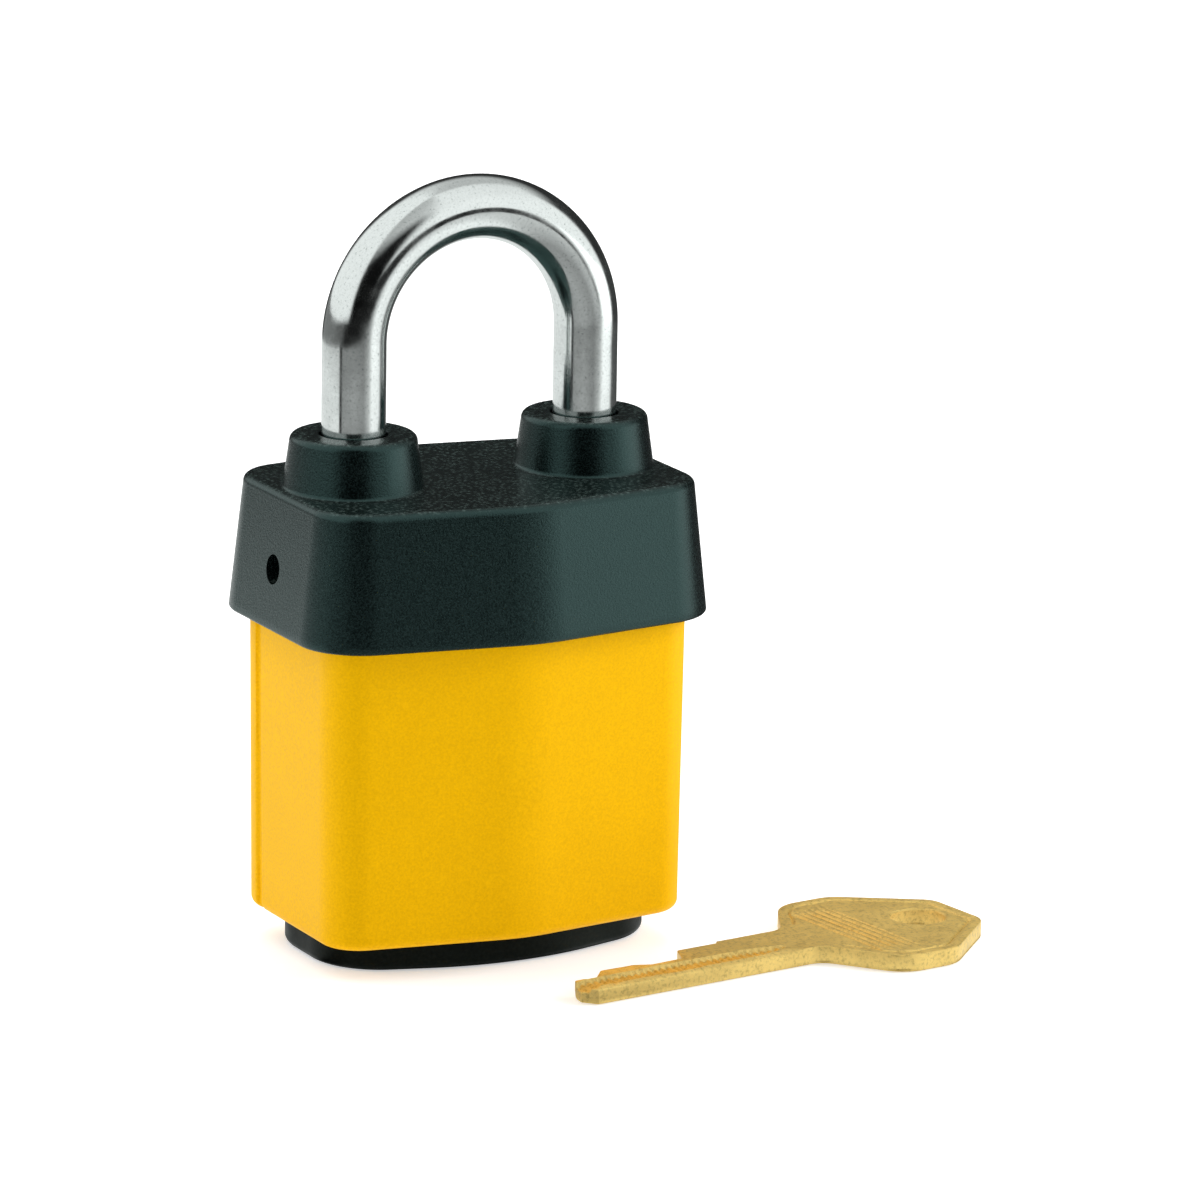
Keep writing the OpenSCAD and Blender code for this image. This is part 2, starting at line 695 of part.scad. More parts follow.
// ---- key ----
// Upper edge of the blade: a valley under each pin, joined by slopes
function cut_edge() = [for (i = [0 : 4]) each
    let (s = tip_to_pin + pin_spacing * i, h = -blade_h / 2 + bitting[i]) [[s - 0.7, h], [s + 0.7, h]]];

module key() {
    half = blade_h / 2;
    full = tip_to_pin + pin_spacing * 4 + 2.2;
    stop_s = blade_l - 4;
    neck = key_l - 24.5;
    mid = bow_w / 2;
    blade = concat([[1.6, -half], [0.2, -half + 1.6], [0.5, -half + bitting[0] - 0.6], [1.3, -half + bitting[0] + 0.7]],
        cut_edge(), [[full, half], [stop_s, half], [stop_s, half + 0.6], [neck, half + 0.6],
        [neck, -half]]);
    bow = rounded([[neck - 3, half + 0.6], [neck, half + 0.6], [key_l - 18.5, mid], [key_l - 10.5, mid],
        [key_l, mid * 0.38], [key_l, -mid * 0.38], [key_l - 10.5, -mid], [key_l - 18.5, -mid], [neck, -half],
        [neck - 3, -half]], [0.1, 3, 5, 5, 3, 3, 5, 5, 3, 0.1]);
    color([0.83, 0.72, 0.42]) translate([key_x, key_y, 0]) rotate([0, 0, key_angle]) difference() {
        union() {
            linear_extrude(key_t) polygon(blade);
            linear_extrude(key_t) polygon(bow);
        }
        upright(key_l - ring_hole_d / 2 - 2.9, 0, -pass, key_t + pass, ring_hole_d / 2);
        translate([-pass, -half + 1.7, key_t - 0.7]) cube([blade_l - 2, 1.7, 0.7 + pass]);
        translate([-pass, half - 3.8, -pass]) cube([blade_l - 2, 1.2, 0.6 + pass]);
    }
}

top_cover();
case_sleeve();
bottom_cap();
keyway_cover();
keyway_cover_pin();
cap_screws();
cover_pins();
shackle_seals();
key_gasket();
bottom_plate();
cylinder_plates();
spacer_plates();
ball_plates();
top_plate();
rivets();
cylinder_housing();
driver_pins();
pin_springs();
chamber_cap();
shackle();
heel_ring();
shackle_spring();
plug();
key_pins();
plug_clip();
locking_cam();
cam_screw();
ball_toe();
ball_heel();
key();
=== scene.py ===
"""Safety padlock: the finish of every piece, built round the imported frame.

Everything is in metres, +Z up, the front towards -Y and the origin under the middle of the base.
Outlines and profiles are written in millimetres and scaled by MM where a mesh is made.
"""
import json
import math

import bmesh
import bpy
import numpy as np
from mathutils import Matrix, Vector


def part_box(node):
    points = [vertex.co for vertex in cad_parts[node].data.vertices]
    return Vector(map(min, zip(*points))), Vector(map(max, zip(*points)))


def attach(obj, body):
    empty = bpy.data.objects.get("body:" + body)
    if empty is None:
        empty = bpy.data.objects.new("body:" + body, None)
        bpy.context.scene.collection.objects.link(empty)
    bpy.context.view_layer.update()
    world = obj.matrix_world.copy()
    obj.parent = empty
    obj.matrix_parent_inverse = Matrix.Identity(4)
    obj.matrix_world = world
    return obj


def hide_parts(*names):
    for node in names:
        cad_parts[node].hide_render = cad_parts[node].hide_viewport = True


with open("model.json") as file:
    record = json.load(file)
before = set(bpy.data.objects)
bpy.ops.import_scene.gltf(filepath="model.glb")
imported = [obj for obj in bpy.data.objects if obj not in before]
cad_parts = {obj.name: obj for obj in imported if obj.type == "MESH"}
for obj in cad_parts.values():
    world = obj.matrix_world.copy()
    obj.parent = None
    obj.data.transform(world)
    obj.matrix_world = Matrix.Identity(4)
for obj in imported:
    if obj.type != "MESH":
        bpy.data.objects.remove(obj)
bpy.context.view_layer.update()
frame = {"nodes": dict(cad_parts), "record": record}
MM = 0.001
TAU = 2 * math.pi


def extent(node):
    """Lowest and highest corner of a CAD node, in millimetres."""
    low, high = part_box(node)
    return np.array(low) / MM, np.array(high) / MM


# ---- sizes, worked out from the frame ----
case_low, case_high = extent("case_sleeve")
cover_low, cover_high = extent("top_cover")
base_high = extent("bottom_cap")[1]
bar_low, bar_high = extent("shackle")
door_low, door_high = extent("keyway_cover")
seal_high = extent("shackle_seals")[1]
plates_high = extent("top_plate")[1]
toe_low, toe_high = extent("ball_toe")
ring_low, ring_high = extent("heel_ring")

CASE = dict(width=case_high[0] * 2, corner_depth=28.4, ridge_depth=36.0, corner_r=5.6, ridge_r=22.0)
BASE = dict(width=base_high[0] * 2, corner_depth=19.2, ridge_depth=32.6, corner_r=9.4, ridge_r=40.0)
CASE_BOTTOM = case_low[2]
CASE_TOP = case_high[2]
CASE_WALL = 2.0
CASE_FLOOR = 2.2
CASE_DRAFT = 0.33
RIM_Z = cover_low[2]
RIM_OUT = cover_high[0] - CASE["width"] / 2
COLLAR_TOP = cover_high[2]
COLLAR_H = 6.7
COVER_TOP = COLLAR_TOP - COLLAR_H
COVER_TOP_OUT = 0.83
COVER_EDGE = 1.0
COLLAR_TOP_R = 7.9
COLLAR_BASE_R = 8.7
COLLAR_LIP = 1.2
BAR_R = bar_high[1]
LEG_X = bar_high[0] - BAR_R
BOW_Z = bar_high[2] - LEG_X - BAR_R
HEEL_END = bar_low[2]
TOE_END = COLLAR_TOP - 21.3
BALL_R = (toe_high[0] - toe_low[0]) / 2
BALL_X = -(toe_high[0] + toe_low[0]) / 2
BALL_Z = (toe_high[2] + toe_low[2]) / 2
SHACKLE_LIFT = 22.0
SHACKLE_CHAMFER = 0.9
NOTCH_CLEARANCE = 0.15
RING_GROOVE_DEPTH = 0.9
BALL_TRAVEL = 5.0
PIN_HOLE_R = 1.85
PIN_HOLE_Z = BALL_Z - 0.8
PIN_END = extent("cover_pins")[1][0]
PIN_BORE_R = 1.5
SEAL_R = seal_high[0] - LEG_X
hinge_low, hinge_high = extent("keyway_cover_pin")
HINGE_Y, HINGE_Z = (hinge_low[1:] + hinge_high[1:]) / 2
TO_HINGE = Matrix.Translation((0, HINGE_Y * MM, HINGE_Z * MM))
HINGE_PIN_R = 0.65
SCREW_X = 17.0
KEY_OPENING_R = 6.5
GASKET_R = 8.1

around = np.linspace(0, TAU, 720, endpoint=False)


# ---- outlines ----
def hexagon(width, corner_depth, ridge_depth, corner_r, ridge_r, out):
    """Six-sided plan with flat ends and a ridge at the middle of its front and back, every side
    moved out by `out`, its corners rounded by arcs. Points run anticlockwise."""
    slope = math.atan((ridge_depth - corner_depth) / width)
    x = width / 2 + out
    ridge = ridge_depth / 2 + out / math.cos(slope)
    corner = ridge - x * math.tan(slope)
    corners = np.array([[x, corner], [0, ridge], [-x, corner], [-x, -corner], [0, -ridge], [x, -corner]])
    radii = np.array([corner_r, ridge_r, corner_r, corner_r, ridge_r, corner_r]) + out
    return round_corners(corners, np.maximum(radii, 0.05))


def round_corners(corners, radii, steps=48):
    """Each corner is swapped for an arc: its centre lies on the corner's bisector, at radius over the
    sine of half the angle, and the arc turns between the two points where it touches the sides."""
    before = np.roll(corners, 1, 0) - corners
    after = np.roll(corners, -1, 0) - corners
    u = before / np.linalg.norm(before, axis=1)[:, None]
    v = after / np.linalg.norm(after, axis=1)[:, None]
    half = np.arccos((u * v).sum(1)) / 2
    mid = u + v
    centre = corners + mid / np.linalg.norm(mid, axis=1)[:, None] * (radii / np.sin(half))[:, None]
    start = corners + u * (radii / np.tan(half))[:, None] - centre
    end = corners + v * (radii / np.tan(half))[:, None] - centre
    first = np.arctan2(start[:, 1], start[:, 0])
    sweep = (np.arctan2(end[:, 1], end[:, 0]) - first + math.pi) % TAU - math.pi
    t = first[:, None] + sweep[:, None] * np.linspace(0, 1, steps)
    arc = np.stack([np.cos(t), np.sin(t)], -1) * radii[:, None, None]
    return (centre[:, None] + arc).reshape(-1, 2)


def reach(outline, angles=around):
    """How far the outline lies from the axis in each direction: where a ray from the axis crosses it."""
    polar = np.arctan2(outline[:, 1], outline[:, 0]) % TAU
    order = np.argsort(polar)
    pts, polar = outline[order], polar[order]
    after = np.searchsorted(polar, angles % TAU) % len(pts)
    a, b = pts[after - 1], pts[after]
    side = b - a
    ray = np.stack([np.cos(angles), np.sin(angles)], 1)
    return (a[:, 0] * side[:, 1] - a[:, 1] * side[:, 0]) / (ray[:, 0] * side[:, 1] - ray[:, 1] * side[:, 0])


def ring(outline_r, z):
    """The outline as a ring of points at height z."""
    z = np.broadcast_to(z, outline_r.shape)
    return np.stack([outline_r * np.cos(around), outline_r * np.sin(around), z], 1)


def case_ring(out, z):
    return ring(reach(hexagon(**CASE, out=out)), z)


def base_ring(out, z):
    return ring(reach(hexagon(**BASE, out=out)), z)


def quarter(centre, radius, first, last, steps=8):
    """Arc in a profile's plane, from angle first to angle last in degrees."""
    t = np.radians(np.linspace(first, last, steps))
    return np.stack([centre[0] + radius * np.cos(t), centre[1] + radius * np.sin(t)], 1)


# ---- meshes ----
def mesh_piece(name, verts, faces, smooth_angle=32):
    """Mesh from points in millimetres and faces, its normals turned outwards."""
    mesh = bpy.data.meshes.new(name)
    mesh.from_pydata((np.asarray(verts) * MM).tolist(), [], faces)
    mesh.update()
    piece = bpy.data.objects.new(name, mesh)
    bpy.context.scene.collection.objects.link(piece)
    turn_outwards(piece)
    soften(piece, smooth_angle)
    return piece


def turn_outwards(piece):
    """Merges doubled points and turns every face of a closed shell outwards."""
    work = bmesh.new()
    work.from_mesh(piece.data)
    bmesh.ops.remove_doubles(work, verts=work.verts, dist=1e-7)
    bmesh.ops.recalc_face_normals(work, faces=work.faces)
    work.to_mesh(piece.data)
    work.free()


def soften(piece, angle):
    """Smooth shading, with edges sharper than the angle kept crisp."""
    piece.data.polygons.foreach_set("use_smooth", np.ones(len(piece.data.polygons), bool))
    piece.data.set_sharp_from_angle(angle=math.radians(angle))
    piece.data.update()


def grid_faces(rows, cols, wrap_rows=False, wrap_cols=True, first=0):
    """Quads between neighbouring rows and columns of a grid of points."""
    r = np.arange(rows if wrap_rows else rows - 1)
    c = np.arange(cols if wrap_cols else cols - 1)
    r, c = np.meshgrid(r, c, indexing="ij")
    r2, c2 = (r + 1) % rows, (c + 1) % cols
    quads = np.stack([r * cols + c, r * cols + c2, r2 * cols + c2, r2 * cols + c], -1)
    return (quads.reshape(-1, 4) + first).tolist()


def loft(name, rings, closed=False, **kw):
    """Skin over a stack of rings with equal numbers of points. An open stack is capped at both ends
    by a fan about the middle of its last ring; a closed one runs from its last ring back to its first."""
    rings = np.asarray(rings)
    rows, cols = rings.shape[:2]
    verts = rings.reshape(-1, 3)
    faces = grid_faces(rows, cols, wrap_rows=closed)
    if not closed:
        verts = np.vstack([verts, rings[0].mean(0), rings[-1].mean(0)])
        j = np.arange(cols)
        k = (j + 1) % cols
        last = (rows - 1) * cols
        faces += np.stack([k, j, np.full(cols, rows * cols)], 1).tolist()
        faces += np.stack([last + j, last + k, np.full(cols, rows * cols + 1)], 1).tolist()
    return mesh_piece(name, verts, faces, **kw)


def turned(profile, centre=(0, 0), steps=128):
    """Rings of a turned shape: each profile point (radius, height) goes once round the upright axis."""
    a = np.linspace(0, TAU, steps, endpoint=False)
    profile = np.asarray(profile, float)
    r, z = profile[:, :1], np.repeat(profile[:, 1:], steps, 1)
    return np.stack([centre[0] + r * np.cos(a), centre[1] + r * np.sin(a), z], -1)


def cut(piece, cutters, angle=32):
    """Takes the cutters out of the piece and throws them away."""
    for cutter in cutters:
        mod = piece.modifiers.new("cut", "BOOLEAN")
        mod.operation = "DIFFERENCE"
        mod.solver = "EXACT"
        mod.object = cutter
    bpy.context.view_layer.update()
    depsgraph = bpy.context.evaluated_depsgraph_get()
    mesh = bpy.data.meshes.new_from_object(piece.evaluated_get(depsgraph))
    piece.modifiers.clear()
    piece.data = mesh
    for cutter in cutters:
        bpy.data.objects.remove(cutter)
    soften(piece, angle)
    return piece


def rod(radius, z0, z1, centre=(0, 0), steps=96):
    """Upright cylinder used as a cutter."""
    return loft("cutter", turned([[radius, z0], [radius, z1]], centre, steps))


def lay_along_x(piece, z):
    """Turns an upright cutter so that it points along +X at height z."""
    piece.data.transform(Matrix.Translation((0, 0, z * MM)) @ Matrix.Rotation(math.pi / 2, 4, "Y"))
    return piece


def block(low, high):
    """Box between two corners, used as a cutter."""
    x, y, z = [np.array(v, float) for v in zip(low, high)]
    flat = np.array([[x[0], y[0]], [x[1], y[0]], [x[1], y[1]], [x[0], y[1]]])
    return loft("cutter", [np.column_stack([flat, np.full(4, h)]) for h in z])


def joined(name, pieces, angle=32):
    """Several shells kept as one piece."""
    verts, faces, base = [], [], 0
    for piece in pieces:
        mesh = piece.data
        co = np.empty(len(mesh.vertices) * 3)
        mesh.vertices.foreach_get("co", co)
        verts.append(co.reshape(-1, 3))
        faces += [[v + base for v in p.vertices] for p in mesh.polygons]
        base += len(mesh.vertices)
        bpy.data.objects.remove(piece)
    mesh = bpy.data.meshes.new(name)
    mesh.from_pydata(np.vstack(verts).tolist(), [], faces)
    piece = bpy.data.objects.new(name, mesh)
    bpy.context.scene.collection.objects.link(piece)
    soften(piece, angle)
    return piece


# ---- top cover ----
def cover_out(z):
    """How far the cover's side stands out from the case: it leans in evenly from the rim to the top."""
    return RIM_OUT - (RIM_OUT - COVER_TOP_OUT) * (z - RIM_Z) / (COVER_TOP - RIM_Z)


def make_cover():
    """Shell lofted through the case's plan: under the rim, up the leaning side, round the top edge and
    across the top, open inside up to the ledge that sits on the case. The collars are turned."""
    ceiling = plates_high[2] + 0.1
    ledge = CASE_TOP
    edge_z = COVER_TOP - COVER_EDGE
    edge_out = cover_out(edge_z) - COVER_EDGE
    rings = [case_ring(-CASE_WALL - 6, ceiling), case_ring(-CASE_WALL, ceiling), case_ring(-CASE_WALL, ledge),
             case_ring(0.1, ledge), case_ring(0.1, RIM_Z + 0.3), case_ring(0.4, RIM_Z),
             case_ring(RIM_OUT - 0.45, RIM_Z)]
    for out, z in quarter((cover_out(RIM_Z + 0.45) - 0.45, RIM_Z + 0.45), 0.45, -90, 0, 6):
        rings.append(case_ring(out, z))
    for z in np.linspace(RIM_Z + 1.2, edge_z - 0.4, 12):
        rings.append(case_ring(cover_out(z), z))
    for out, z in quarter((edge_out, edge_z), COVER_EDGE, 0, 90, 10):
        rings.append(case_ring(out, z))
    rings += [case_ring(edge_out - inset, COVER_TOP) for inset in (0.8, 3)]
    shell = loft("shell", rings)
    pockets = [rod(SEAL_R + 0.1, ceiling - 3, COVER_TOP + 3, (x, 0)) for x in (-LEG_X, LEG_X)]
    pins = []
    for side in (-1, 1):
        hole = turned([[PIN_BORE_R, 0], [PIN_BORE_R, PIN_END], [PIN_HOLE_R, PIN_END], [PIN_HOLE_R, 34]], steps=64)
        cutter = lay_along_x(loft("cutter", hole), PIN_HOLE_Z)
        cutter.data.transform(Matrix.Rotation(0 if side > 0 else math.pi, 4, "Z"))
        pins.append(cutter)
    cut(shell, pockets + pins)
    return joined("cover", [shell] + [collar(x) for x in (-LEG_X, LEG_X)])


def collar(x):
    """Turned collar: a flare where it leaves the cover, a tapered side, a rounded top edge and a lip
    that dips towards the leg, over the pocket of the seal."""
    lip_r = BAR_R + 0.3
    lean = math.degrees(math.atan((COLLAR_BASE_R - COLLAR_TOP_R) / COLLAR_H))
    flare, edge = 0.55, 0.9
    foot = quarter((COLLAR_BASE_R - 0.05 + flare, COVER_TOP + flare), flare, 270, 180 + lean, 8)
    top = quarter((COLLAR_TOP_R - edge, COLLAR_TOP - edge), edge, lean, 90, 10)
    dip = quarter((lip_r + 0.25, COLLAR_TOP - 0.25), 0.25, 90, 180, 6)
    pocket_r, lip_z = SEAL_R + 0.1, COLLAR_TOP - COLLAR_LIP
    inside = [[lip_r, lip_z], [pocket_r, lip_z], [pocket_r, COVER_TOP - 1.6],
              [COLLAR_BASE_R + 0.3, COVER_TOP - 0.6]]
    profile = np.vstack([foot, top, dip, inside])
    return loft("collar", turned(profile, (x, 0), 192), closed=True)


# ---- case ----
def make_case():
    """Tube lofted through the case's plan, drawn in slightly towards a rounded bottom edge, with a
    parting groove down each end and an opening in its floor for the base's spigot."""
    edge = 1.2
    bottom = CASE_BOTTOM

    def side(z):
        return -CASE_DRAFT * (RIM_Z - z) / (RIM_Z - bottom - edge)

    outer = [(0, CASE_TOP), (0, RIM_Z)] + [(side(z), z) for z in np.linspace(RIM_Z - 2, bottom + edge + 0.3, 14)]
    outer += [tuple(p) for p in quarter((-CASE_DRAFT - edge, bottom + edge), edge, 0, -90, 10)]
    rings = [groove(case_ring(out, z)) for out, z in outer]
    spigot = -3.4
    rings += [case_ring(-CASE_DRAFT - edge - 1, bottom), base_ring(spigot, bottom),
              base_ring(spigot, bottom + CASE_FLOOR), case_ring(-CASE_WALL, bottom + CASE_FLOOR + 0.02),
              case_ring(-CASE_WALL, CASE_TOP)]
    return loft("case", rings, closed=True, smooth_angle=40)


def groove(points, y=8.2, width=1.4, depth=0.4):
    """Presses the flat ends in along a band at +y, with sloping flanks."""
    at_end = np.abs(points[:, 0]) > CASE["width"] / 2 - 3
    press = np.clip((width / 2 + 0.12 - np.abs(points[:, 1] - y)) / 0.35, 0, 1) * depth * at_end
    points[:, 0] -= np.sign(points[:, 0]) * press
    return points


# ---- base ----
def make_base():
    """Block lofted through the base's plan with a rounded lower edge and a spigot on top, less the
    pocket of the keyway cover, the key's opening, the gasket's seat and the two screw holes."""
    edge, spigot = 1.0, -3.5
    rings = [base_ring(-edge - 4, 0)]
    rings += [base_ring(out, z) for out, z in quarter((-edge, edge), edge, -90, 0, 10)]
    rings += [base_ring(0, z) for z in (CASE_BOTTOM - 0.3, CASE_BOTTOM - 0.02)]
    rings += [base_ring(-0.3, CASE_BOTTOM), base_ring(spigot, CASE_BOTTOM), base_ring(spigot, base_high[2])]
    base = loft("base", rings)
    gap = 0.3
    roof = door_low[2] + 2.0
    knuckle = lay_along_x(rod(door_high[1] - HINGE_Y + gap, door_low[0] - gap, door_high[0] + gap), 0)
    knuckle.data.transform(TO_HINGE)
    cutters = [
        block((door_low[0] - gap, door_low[1] - gap, -1), (door_high[0] + gap, HINGE_Y, roof)),
        block((door_low[0] - gap, HINGE_Y - gap, -1), (door_high[0] + gap, door_high[1] + gap, HINGE_Z)),
        knuckle,
        rod(3.0, -1, roof - 0.01, (0, door_low[1])),
        rod(KEY_OPENING_R, 0.5, 8),
        rod(GASKET_R, base_high[2] - 1.1, 8),
    ]
    for x in (-SCREW_X, SCREW_X):
        cutters += [rod(3.1, -1, 2.3, (x, 0)), rod(1.6, 1, 8, (x, 0))]
    return cut(base, cutters)


def make_keyway_cover():
    """Plate with rounded edges and a shallow thumb hollow, joined to the turned knuckle at its back."""
    low, high = door_low.copy(), door_high.copy()
    knuckle_r = high[1] - HINGE_Y
    x = high[0]
    top = low[2] + 1.5
    soft = 0.35
    corners = np.array([[x, low[1]], [x, HINGE_Y], [-x, HINGE_Y], [-x, low[1]]])
    centre = np.array([0, (low[1] + HINGE_Y) / 2])

    def plate_ring(inset, z):
        shape = round_corners(corners - centre, np.array([1.2, 0.2, 0.2, 1.2]), 12)
        scale = 1 - inset / np.array([x, (HINGE_Y - low[1]) / 2])
        return np.column_stack([shape * scale + centre, np.full(len(shape), z)])

    rings = [plate_ring(soft + 1.5, low[2])]
    rings += [plate_ring(soft - out, z) for out, z in quarter((0, low[2] + soft), soft, -90, 0, 6)]
    rings += [plate_ring(soft - out, z) for out, z in quarter((0, top - soft), soft, 0, 90, 6)]
    plate = loft("plate", rings)
    profile = [[HINGE_PIN_R, -x], [knuckle_r - 0.1, -x], [knuckle_r, -x + 0.1],
               [knuckle_r, x - 0.1], [knuckle_r - 0.1, x], [HINGE_PIN_R, x]]
    knuckle = loft("knuckle", turned(profile, steps=64), closed=True)
    knuckle.data.transform(TO_HINGE @ Matrix.Rotation(math.pi / 2, 4, "Y"))
    turn_outwards(knuckle)
    hollow = rod(4.5, -3, low[2] + 0.35, (0, low[1] + 4.5))
    slot = lay_along_x(rod(HINGE_PIN_R, -x - 1, x + 1, steps=48), 0)
    slot.data.transform(TO_HINGE)
    cut(plate, [hollow, slot])
    return joined("keyway_door", [plate, knuckle])


# ---- shackle ----
def make_shackle():
    """Round bar: circles carried up the long leg, round the half-circle bow and down the short leg. At
    each ring the section stands square to the path. The ball notches are cut after."""
    groove_r = BAR_R - RING_GROOVE_DEPTH
    chamfer = SHACKLE_CHAMFER
    t = np.radians(np.linspace(0, 180, 129))[1:-1]
    heel = [(HEEL_END, BAR_R - chamfer), (HEEL_END + chamfer, BAR_R), (ring_low[2] - 0.02, BAR_R),
            (ring_low[2] - 0.02, groove_r), (ring_high[2] + 0.02, groove_r), (ring_high[2] + 0.02, BAR_R)]
    heel += [(z, BAR_R) for z in np.linspace(ring_high[2] + 4, BOW_Z, 14)]
    toe = [(z, BAR_R) for z in np.linspace(BOW_Z, TOE_END + chamfer, 10)] + [(TOE_END, BAR_R - chamfer)]
    path = [(LEG_X, z, r, 1, 0) for z, r in heel]
    path += [(LEG_X * math.cos(a), BOW_Z + LEG_X * math.sin(a), BAR_R, math.cos(a), math.sin(a)) for a in t]
    path += [(-LEG_X, z, r, -1, 0) for z, r in toe]
    x, z, r, nx, nz = np.array(path).T[..., None]
    a = np.linspace(0, TAU, 96, endpoint=False)
    rings = np.stack([x + r * np.cos(a) * nx, r * np.sin(a) + 0 * x, z + r * np.cos(a) * nz], -1)
    bar = loft("shackle_bar", rings)
    return cut(bar, [ball_notch(side) for side in (-1, 1)])


def ball_notch(side):
    """Cutter that a ball sweeps as it backs out: a round-ended rod, down and in from the ball's seat."""
    r = BALL_R + NOTCH_CLEARANCE
    nose = quarter((0, 0), r, 89.9, 0, 16)
    profile = np.vstack([nose, [[r, -9]]])
    cutter = loft("cutter", turned(profile, steps=64))
    lean = math.atan(BALL_TRAVEL / SHACKLE_LIFT)
    cutter.data.transform(Matrix.Translation((side * BALL_X * MM, 0, BALL_Z * MM))
                          @ Matrix.Rotation(side * lean, 4, "Y"))
    return cutter


# ---- key ----
KEY_X, KEY_Y, KEY_ANGLE = -1.0, -31.0, 8.0
KEY_T = 2.2
KEY_L = 60.0
BLADE_HALF = 4.0
BLADE_STOP = 25.5
STOP_STEP = 0.6
NECK = KEY_L - 24.5
BOW_W = 27.0
BITTING = [3.9, 5.9, 5.8, 4.8, 4.9]
PIN_STEP, TIP_TO_PIN = 3.4, 3.3
RING_HOLE_R = 3.5
RING_HOLE_S = KEY_L - RING_HOLE_R - 2.9


def place_key(points):
    """From the key's own frame, tip at the origin, to where it lies beside the lock."""
    a = math.radians(KEY_ANGLE)
    x = KEY_X + points[..., 0] * math.cos(a) - points[..., 1] * math.sin(a)
    y = KEY_Y + points[..., 0] * math.sin(a) + points[..., 1] * math.cos(a)
    return np.stack([x, y, points[..., 2]], -1)


def bow_edge(neck_half):
    """One side of the bow as corners rounded by arcs: neck, flank, widest part and flat far end."""
    mid = BOW_W / 2
    side = np.array([[NECK - 3, neck_half], [NECK, neck_half], [KEY_L - 18.5, mid], [KEY_L - 10.5, mid],
                     [KEY_L, mid * 0.38], [KEY_L, 0], [NECK - 3, 0]])
    steps = 24
    return round_corners(side, np.array([0.05, 3, 5, 5, 3, 0.05, 0.05]), steps)[:5 * steps]


def cut_height(s):
    """Height of the blade's upper edge at distance s from the tip: flats under the pins and slopes
    between them, a steep nose and the full blade past the last cut."""
    full = TIP_TO_PIN + PIN_STEP * 4 + 2.2
    knots = [(0.2, -2.2), (0.5, -0.9), (1.3, 0.6)]
    for i, h in enumerate(BITTING):
        middle = TIP_TO_PIN + PIN_STEP * i
        knots += [(middle - 0.7, h - BLADE_HALF), (middle + 0.7, h - BLADE_HALF)]
    knots += [(full, BLADE_HALF), (BLADE_STOP, BLADE_HALF), (BLADE_STOP + 0.02, BLADE_HALF + STOP_STEP),
              (KEY_L, BLADE_HALF + STOP_STEP)]
    s_knots, h_knots = np.array(knots).T
    return np.interp(s, s_knots, h_knots)


def upper_relief(s, t, to_edge):
    """What is milled and stamped into the upper face: a wide groove along the blade with cutter marks
    across it, which runs out to a point in the neck; a bevel along the blade's lower edge; a fine
    line inside the bow's edge and a band of fine ribs across the bow."""
    out = np.clip((NECK - 3.5 - s) / 6.5, 0, 1)
    half_w = 1.55 * np.sqrt(out) + 1e-6
    inside = np.clip((half_w - np.abs(t + 1.75)) / 0.3, 0, 1)
    marks = 0.16 * np.cos(s * TAU) * inside * np.clip(out * 4, 0, 1)
    bevel = 0.32 * np.clip((-t - BLADE_HALF + 0.75) / 0.75, 0, 1) * np.clip((NECK - 2 - s) / 3, 0, 1)
    mill = 0.5 * inside * np.clip(out * 2.5, 0, 1) + marks + bevel
    on_bow = np.clip((s - NECK - 2.5) / 0.6, 0, 1)
    line = 0.32 * np.exp(-((to_edge - 1.6) / 0.2) ** 2) * on_bow
    u = s - (KEY_L - 19.8)
    band = np.clip((3.2 - np.abs(u - 2.9)) / 0.15, 0, 1) * np.clip((9.3 - np.abs(t)) / 0.15, 0, 1)
    ribs = 0.26 * (0.5 - 0.5 * np.cos(u * TAU / 1.1)) ** 3 * band
    return mill + line + ribs


